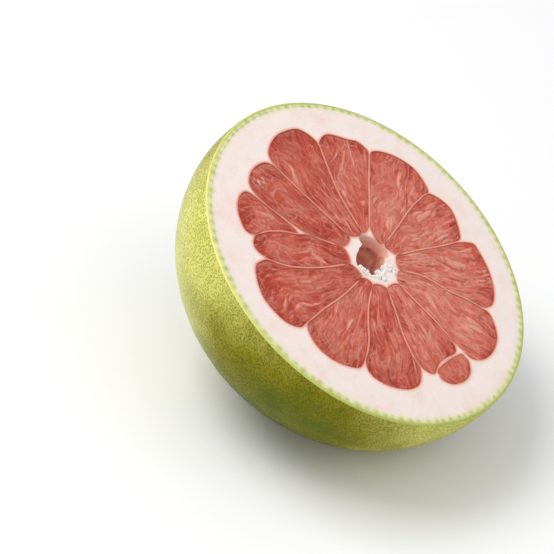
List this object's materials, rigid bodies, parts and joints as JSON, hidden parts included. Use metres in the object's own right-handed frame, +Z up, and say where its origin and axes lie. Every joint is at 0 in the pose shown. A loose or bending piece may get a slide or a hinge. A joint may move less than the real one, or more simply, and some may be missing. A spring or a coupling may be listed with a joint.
{
  "type": "pomelo half",
  "caption": "Cut half of a pomelo with green rind, thick white pith, coral pulp in its membranes and a hollow core, leaning on a small flat spot of the rind.",
  "frame": {"origin": "on the surface the half rests on, under the middle of its bounding box", "axes": "+Z up; +X level, across the cut face; the cut face leans from upright towards -Y by 22.6 degrees"},
  "size_m": [0.1618, 0.1572, 0.1036],
  "materials": {
    "skin": "waxy green citrus skin with fine oil glands",
    "pith": "matte spongy white pith with a faint pink tint",
    "pulp": "moist coral pulp with fine streaks"
  },
  "bodies": {
    "root": {"rind_skin": "skin", "pith": "pith", "pulp_segment_01": "pulp", "pulp_segment_02": "pulp", "pulp_segment_03": "pulp", "pulp_segment_04": "pulp", "pulp_segment_05": "pulp", "pulp_segment_06": "pulp", "pulp_segment_07": "pulp", "pulp_segment_08": "pulp", "pulp_segment_09": "pulp", "pulp_segment_10": "pulp", "pulp_segment_11": "pulp", "pulp_segment_12": "pulp", "pulp_segment_13": "pulp", "pulp_segment_14": "pulp"}
  },
  "joints": []
}
